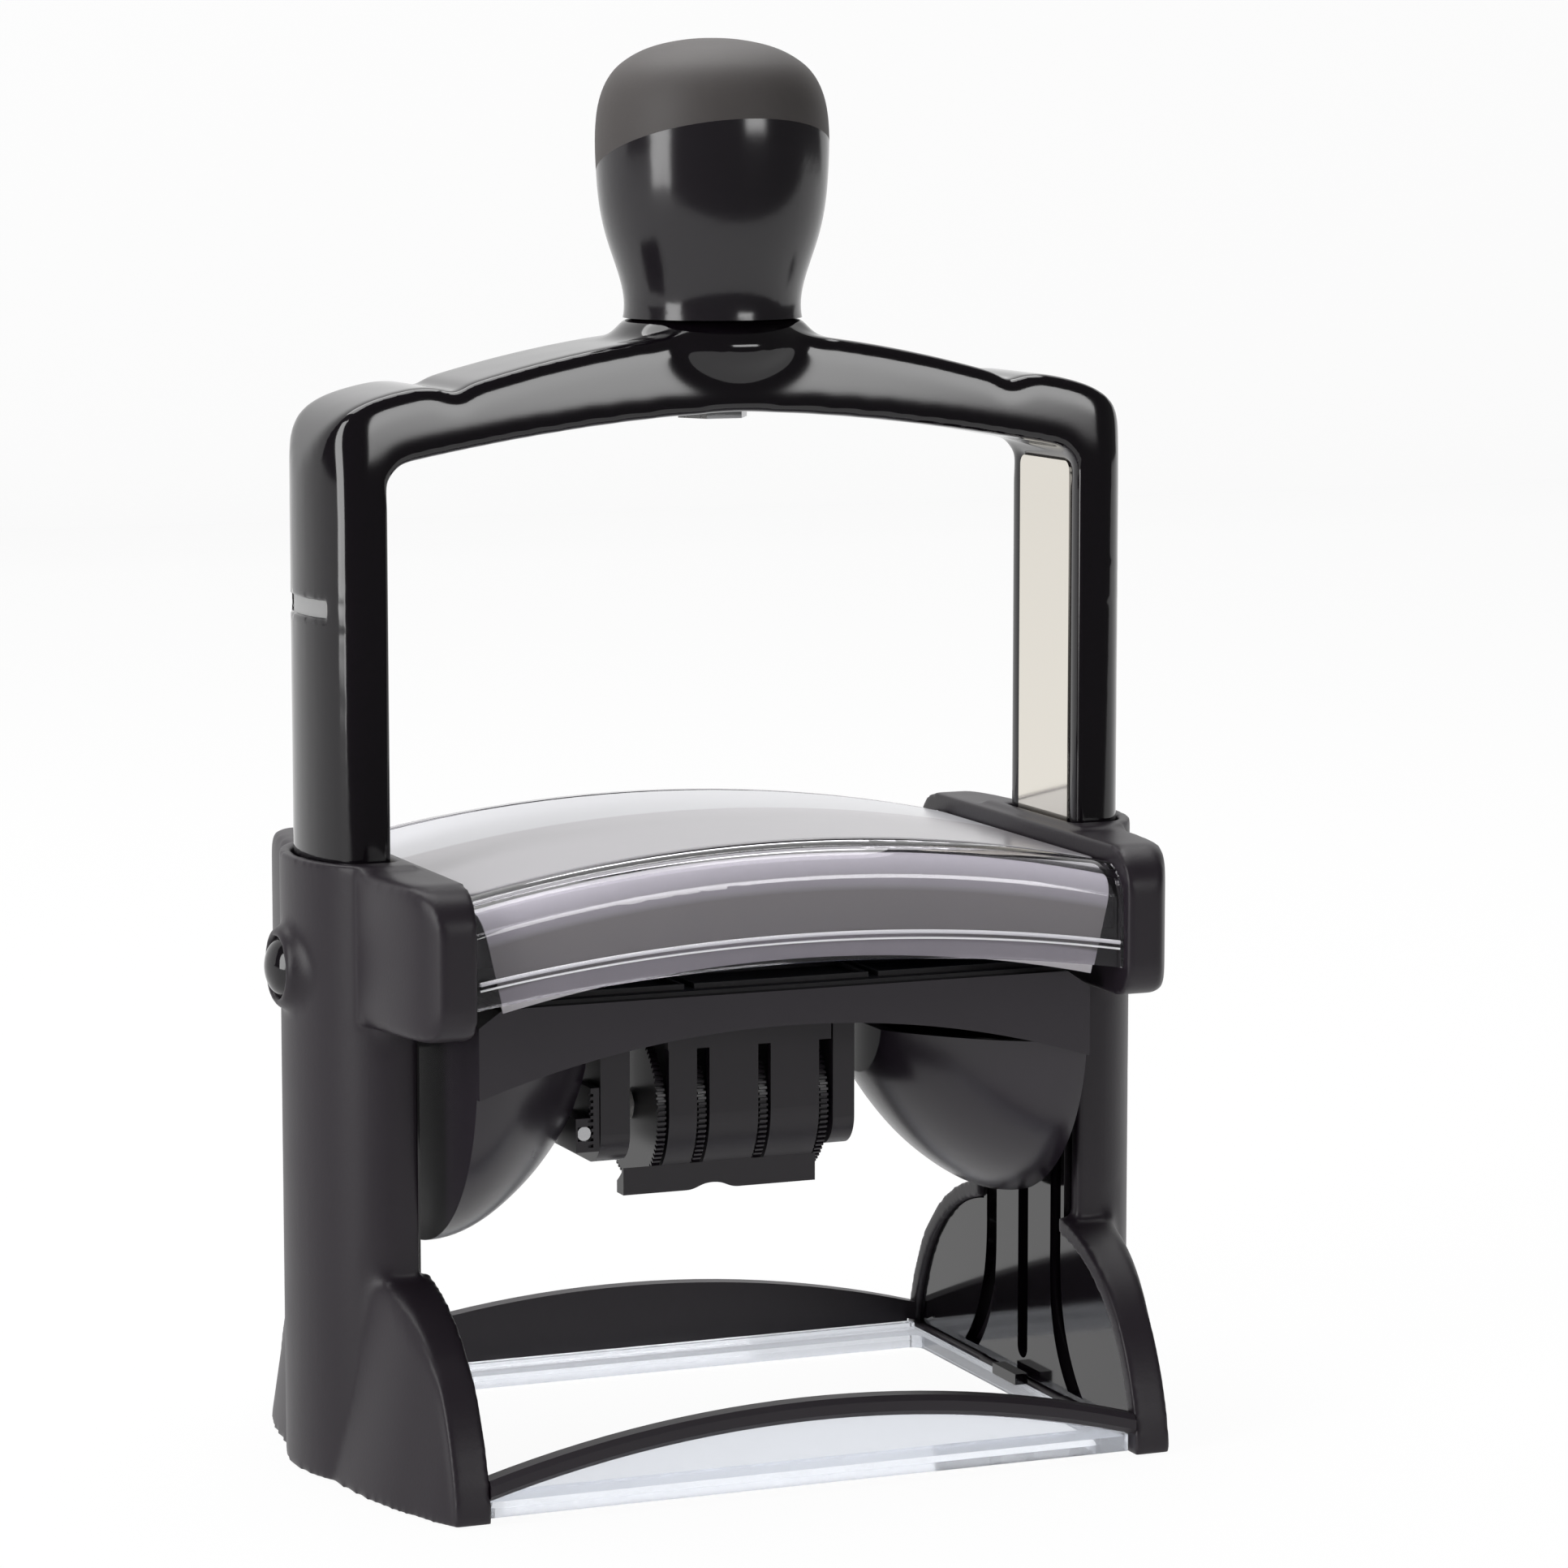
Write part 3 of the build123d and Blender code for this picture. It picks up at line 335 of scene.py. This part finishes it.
def apply_modifier(piece, kind, **settings):
    select_only(piece)
    modifier = piece.modifiers.new(kind.lower(), kind)
    for key, value in settings.items():
        setattr(modifier, key, value)
    bpy.ops.object.modifier_apply(modifier=modifier.name)


# %% [markdown]
# ## Relaxing a skin
# A bevel can't roll the edges of shapes as swollen as these. So a copy is turned into an
# even skin of small squares, and the skin is relaxed: each point moves towards the middle of
# its neighbours. A few rounds roll an edge by about a millimetre, and many rounds turn a
# swelling into a pillow. A vertex group says where, and by how much, the many rounds act.

# %% Skin and relax
SKIN = 0.5 * MM


def new_skin(piece, size=SKIN):
    apply_modifier(piece, "REMESH", mode="VOXEL", voxel_size=size, use_smooth_shade=True)


def relax(piece, rounds, weight=None):
    """Smooths the skin; weight gives each point's share, from its place, from 0 to 1."""
    if weight is None:
        apply_modifier(piece, "SMOOTH", factor=0.5, iterations=rounds)
        return
    group = piece.vertex_groups.new(name="relax")
    for vertex in piece.data.vertices:
        share = weight(vertex.co)
        if share > 0:
            group.add([vertex.index], share, "REPLACE")
    apply_modifier(piece, "SMOOTH", factor=0.5, iterations=rounds, vertex_group="relax")
    piece.vertex_groups.clear()


def ramp(value, start, end):
    """0 before start, 1 after end, even in between."""
    return min(max((value - start) / (end - start), 0.0), 1.0)


# %% [markdown]
# ## The yoke
# The yoke is one glossy moulding: two legs and a crossbar with rolled edges. The faces of the
# crossbar lean back a little, towards its top, so they show a softer light than the legs
# do. The lean is put in first, by moving the points of the crossbar towards its middle. The
# slot of the lock keeper stays crisp: it gets no share of the relaxing.

# %% Lean, skin and roll the yoke
bar_low, bar_top = 139 * MM, 159 * MM
LEAN = 0.16
keeper_low, keeper_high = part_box("left_lock_keeper")
yoke = merged_copy("yoke_frame", "yoke_moulding")
new_skin(yoke)
for vertex in yoke.data.vertices:
    height_share = ramp(vertex.co.z, bar_low, bar_top)
    face_share = ramp(abs(vertex.co.y), 6 * MM, 9 * MM)
    vertex.co.y *= 1 - LEAN * height_share * face_share


def yoke_share(place):
    near_keeper = keeper_low.z - 1.6 * MM < place.z < keeper_high.z + 1.6 * MM
    return 0.0 if near_keeper and abs(place.x) > 54 * MM else 1.0


relax(yoke, 16, yoke_share)
relax(yoke, 40, lambda place: yoke_share(place) * ramp(place.z, 134 * MM, 142 * MM))
bpy.ops.object.shade_smooth()
stand_for(yoke, "yoke_frame", "yoke", gloss_abs)
print("yoke faces:", len(yoke.data.polygons))

# %% [markdown]
# ## The columns
# Each column is a matte moulding with a collar, a swollen cheek, two feet and the boss of
# the lock button. Everything on it is soft, and the swellings are pillows.

# %% Relax the columns
def column_share(place):
    """The cheeks and feet, outside the plane of their rims."""
    on_cheek = place.z > 60 * MM and abs(place.y) > 15.5 * MM
    on_foot = 2 * MM < place.z < 34 * MM and abs(place.y) > 14 * MM
    return ramp(abs(place.x), 53.4 * MM, 54.6 * MM) if on_cheek or on_foot else 0.0


for side in ("left", "right"):
    column = merged_copy(side + "_column", side + "_column_moulding")
    new_skin(column)
    relax(column, 70, column_share)
    relax(column, 6)
    for vertex in column.data.vertices:
        vertex.co.z = max(vertex.co.z, 0.0)
    apply_modifier(column, "DECIMATE", ratio=0.45)
    bpy.ops.object.shade_smooth()
    stand_for(column, side + "_column", "stand", spark_abs)
    print(column.name, "faces:", len(column.data.polygons))

# %% [markdown]
# ## The return springs
# A spring stands in each column and reaches up into the leg. When the yoke comes down its
# coils close up, which a rigid part can't show. A copy stands for each spring and gets a mesh
# of its own.

# %% Spring copies
for side in ("left", "right"):
    spring = merged_copy(side + "_return_spring", side + "_spring_coil")
    bpy.ops.object.shade_smooth()
    stand_for(spring, side + "_return_spring", "stand", drawn_steel)
    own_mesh(spring)

# %% [markdown]
# ## Behind the window
# The clear front of the cover shows a card. Its face is grey, and where it folds over the
# shoulder it is painted pale: a painted reflection of the clear shoulder. All strips on the
# cover follow an arch, so one function makes them: it takes the outline of a strip at the
# middle of the stamp and spins it about a far centre below the table. The arch's radius comes
# from its width and how far its ends drop.

# %% Arched strips
def arched_strip(name, outline, half_width, drop):
    """outline is (y, z) at the middle, in millimetres, and closed by itself."""
    top = max(z for y, z in outline)
    radius = (half_width ** 2 + drop ** 2) / (2 * drop)
    centre = top - radius
    half_turn = math.asin(half_width / radius)
    start = [(-(z - centre) * math.sin(half_turn) * MM, y * MM,
              (centre + (z - centre) * math.cos(half_turn)) * MM) for y, z in outline]
    mesh = bpy.data.meshes.new(name)
    mesh.from_pydata(start, [], [list(range(len(start)))])
    made = bpy.data.objects.new(name, mesh)
    bpy.context.scene.collection.objects.link(made)
    select_only(made)
    bpy.ops.object.mode_set(mode="EDIT")
    bpy.ops.mesh.select_all(action="SELECT")
    bpy.ops.mesh.spin(steps=40, angle=-2 * half_turn, center=(0, 0, centre * MM), axis=(0, 1, 0))
    bpy.ops.mesh.select_all(action="SELECT")
    bpy.ops.mesh.normals_make_consistent(inside=False)
    bpy.ops.object.mode_set(mode="OBJECT")
    bpy.ops.object.shade_smooth_by_angle(angle=math.radians(30))
    print(name, "spans in mm:", [round(1000 * d, 1) for d in made.dimensions])
    return made


# %% The card that shows through the window
glass_low, glass_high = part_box("front_window")
glass_front = 1000 * glass_low.y + 0.4
glass_top = 1000 * glass_high.z
arch_drop = 5.3
card_half = 46.6
card_back = 1000 * glass_high.y - 0.1
wall_y = glass_front + 1.4 + 0.25
fold_r, sheet_t = 3.7, 0.3
fold_top = glass_top - 1.4 - 0.3
card_foot = glass_top - 15.4


def folded(grow):
    """The card's section, from its foot up over the fold, moved in by grow."""
    r = fold_r - grow
    turn = [math.radians(90 * k / 8) for k in range(9)]
    bend = [(wall_y + fold_r - r * math.cos(a), fold_top - fold_r + r * math.sin(a)) for a in turn]
    return [(wall_y + grow, card_foot)] + bend + [(card_back, fold_top - grow)]


card = arched_strip("window_card", folded(0) + folded(sheet_t)[::-1], card_half, arch_drop)


# %% [markdown]
# The card's colour changes with its height below the arch: a lighter strip along the foot, a
# grey face that gets a little lighter upwards, and a painted reflection of the clear shoulder
# over the fold. The height is worked out from the place of each point: the arch falls with the
# square of the distance from the middle, so adding that square back makes the height even
# along the strip.

# %% Card colours with a painted reflection
def card_material():
    material, tree, where = start_material("card_with_painted_reflection")
    place = add_node(tree, "SeparateXYZ", {"Vector": where})
    square = add_node(tree, "Math", {0: place.outputs["X"], 1: place.outputs["X"]},
                      operation="MULTIPLY")
    fall = arch_drop * MM / (card_half * MM) ** 2
    height = add_node(tree, "Math", {0: square.outputs[0], 1: fall, 2: place.outputs["Z"]},
                      operation="MULTIPLY_ADD")
    share = add_node(tree, "MapRange", {"Value": height.outputs[0], "From Min": card_foot * MM,
                                        "From Max": fold_top * MM})
    card_tone_and_painted_reflection = add_node(tree, "ValToRGB", {"Fac": share.outputs["Result"]})
    stops = card_tone_and_painted_reflection.color_ramp.elements
    stops[0].position, stops[0].color = 0.0, linear("#a9a6aa")
    stops[1].position, stops[1].color = 1.0, linear("#dddbe0")
    # Stops, bottom to top: lighter strip at the foot, grey face, then the pale painted reflection of the
    # clear shoulder over the fold.
    for position, colour in ((0.20, "#b7b4b8"), (0.23, "#918f8d"), (0.66, "#989693"), (0.72, "#bcbabd")):
        stop = stops.new(position)
        stop.color = linear(colour)
    fibre = add_node(tree, "TexNoise", {"Vector": where, "Scale": 1000 / 0.5, "Detail": 3.0})
    nap = add_node(tree, "Bump", {"Height": fibre.outputs["Fac"], "Distance": 0.002 * MM,
                                  "Strength": 1.0})
    shader = add_node(tree, "BsdfPrincipled", {
        "Base Color": card_tone_and_painted_reflection.outputs["Color"], "Roughness": 0.6, "Normal": nap.outputs["Normal"]})
    finish_material(tree, shader)
    return material


stand_for(card, "index_card", "stand", card_material())

# %% [markdown]
# ## The seam in front of the panel
# A black lip closes the gap between the panel and the clear shoulder. It shows as a thin dark
# line along the arch.

# %% Seam lip
lip_top = glass_top + 0.12
lip_outline = [(card_back - 0.5, lip_top - 0.5), (card_back + 0.3, lip_top - 0.5),
               (card_back + 0.3, lip_top), (card_back - 0.3, lip_top)]
lip_half = 46.4
seam_lip = arched_strip("panel_seam_lip", lip_outline, lip_half, arch_drop)
seam_lip.data.materials.append(satin_abs)
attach(seam_lip, "stand")

# %% [markdown]
# ## The bright bead, a painted highlight
# A double bead runs along the foot of the window. Its rounded edge catches the light, so it
# looks white; that highlight is painted into it as a pale, glossy colour. Its rounded edge catches the
# light, so it
# looks white, and it is given a pale, glossy finish of its own.

# %% Bead with a painted highlight
bead_half, bead_drop = 47.3, 3.9
# The pale colour is a painted highlight; the bead itself is clear acrylic.
bead_painted_highlight = moulded_plastic("bead_painted_highlight", "#f1f1f4", "#f6f6f8", 0.12, 0.5, 0.0002)
for name, below, size in (("window_bead", 12.1, 0.28), ("window_bead_lower", 13.0, 0.16)):
    ring = [(glass_front + 0.1 + size * math.cos(a), glass_top - below + size * math.sin(a))
            for a in [math.radians(45 * k) for k in range(8)]]
    bead = arched_strip(name, ring, bead_half, bead_drop)
    bead.data.materials.append(bead_painted_highlight)
    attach(bead, "stand")

# %% [markdown]
# ## Floor and backdrop
# A white sweep: the floor runs back and curls up into a wall, so that no horizon shows from
# the front.
# It looks white to the camera, to gloss and through glass, but it still takes the stamp's
# shadow, because only part of what the camera sees is plain white light.

# %% White sweep
FRONT_EDGE, BACK_EDGE, CURL = -0.40, 1.6, 0.5
bpy.ops.object.select_all(action="DESELECT")
bpy.ops.mesh.primitive_plane_add(size=1, location=(0, (FRONT_EDGE + BACK_EDGE) / 2, -0.0002))
sweep = bpy.context.object
sweep.name = "floor_sweep"
sweep.scale = (6.0, BACK_EDGE - FRONT_EDGE, 1)
bpy.ops.object.transform_apply(location=True, rotation=False, scale=True)
bpy.ops.object.mode_set(mode="EDIT")
bpy.ops.mesh.select_all(action="DESELECT")
bpy.ops.object.mode_set(mode="OBJECT")
for vertex in sweep.data.vertices:
    vertex.select = vertex.co.y > 1.0
bpy.ops.object.mode_set(mode="EDIT")
bpy.ops.mesh.select_mode(type="VERT")
bpy.ops.mesh.spin(steps=16, angle=math.radians(90), center=(0, BACK_EDGE, CURL), axis=(1, 0, 0))
bpy.ops.mesh.extrude_region_move(TRANSFORM_OT_translate={"value": (0, 0, 1.5)})
bpy.ops.object.mode_set(mode="OBJECT")
bpy.ops.object.shade_smooth()
print("sweep reaches:", [round(c, 2) for c in sweep.dimensions])


def white_stage(name, share):
    """Diffuse white, part of which is replaced by plain white for camera, gloss and glass."""
    material = bpy.data.materials.new(name)
    material.use_nodes = True
    tree = material.node_tree
    tree.nodes.clear()
    ray = add_node(tree, "LightPath")
    seen = add_node(tree, "Math", {0: ray.outputs["Is Camera Ray"],
                                   1: ray.outputs["Is Glossy Ray"]}, operation="MAXIMUM")
    seen = add_node(tree, "Math", {0: seen.outputs[0], 1: ray.outputs["Is Transmission Ray"]},
                    operation="MAXIMUM")
    amount = add_node(tree, "Math", {0: seen.outputs[0], 1: share}, operation="MULTIPLY")
    paper = add_node(tree, "BsdfDiffuse", {"Color": linear("#f4f4f4")})
    glow = add_node(tree, "Emission", {"Color": (1, 1, 1, 1), "Strength": 1.0})
    mixed = add_node(tree, "MixShader", {0: amount.outputs[0], 1: paper.outputs[0],
                                         2: glow.outputs[0]})
    add_node(tree, "OutputMaterial", {"Surface": mixed.outputs[0]})
    return material


sweep.data.materials.append(white_stage("white_sweep", 0.95))

# %% World
world = bpy.data.worlds.new("studio")
bpy.context.scene.world = world
world.use_nodes = True
tree = world.node_tree
tree.nodes.clear()
ray = add_node(tree, "LightPath")
seen = add_node(tree, "Math", {0: ray.outputs["Is Camera Ray"], 1: ray.outputs["Is Transmission Ray"]},
                operation="MAXIMUM")
level = add_node(tree, "MapRange", {"Value": seen.outputs[0], "To Min": 0.12, "To Max": 1.0})
sky = add_node(tree, "Background", {"Color": (1, 1, 1, 1), "Strength": level.outputs["Result"]})
add_node(tree, "OutputWorld", {"Surface": sky.outputs["Background"]})

# %% [markdown]
# ## Light
# Three soft boxes, as in a product studio: a tall one on the left, a small one in front on
# the right, which shows as the gloss on the crossbar, and a big one overhead.

# %% Soft boxes
def soft_box(name, place, target, size, power):
    data = bpy.data.lights.new(name, "AREA")
    data.shape = "RECTANGLE"
    data.size, data.size_y = size
    data.energy = power
    lamp = bpy.data.objects.new(name, data)
    bpy.context.scene.collection.objects.link(lamp)
    lamp.location = place
    lamp.rotation_euler = (Vector(target) - Vector(place)).to_track_quat("-Z", "Y").to_euler()
    return lamp


middle = (0, 0, 0.09)
soft_box("left_box", (-1.0, -0.30, 0.40), middle, (0.4, 0.9), 8.0)
soft_box("front_box", (0.44, -1.10, 0.37), middle, (0.42, 0.20), 2.0)
soft_box("top_box", (0.0, 0.25, 1.0), middle, (1.0, 0.8), 11.5)

# %% [markdown]
# ## Camera
# A long lens from a little to the left and above, the usual view in a stationer's catalogue.

# %% Camera
lens = bpy.data.cameras.new("camera")
lens.lens = 123.5
lens.sensor_width = 36.0
lens.clip_start = 0.05
camera = bpy.data.objects.new("camera", lens)
bpy.context.scene.collection.objects.link(camera)
camera.location = (-0.2795, -0.7038, 0.1911)
turn, dip = math.radians(22.42), math.radians(7.39)
look = Vector((math.sin(turn) * math.cos(dip), math.cos(turn) * math.cos(dip), -math.sin(dip)))
camera.rotation_euler = look.to_track_quat("-Z", "Y").to_euler()
bpy.context.scene.camera = camera
bpy.context.scene.view_settings.view_transform = "Standard"
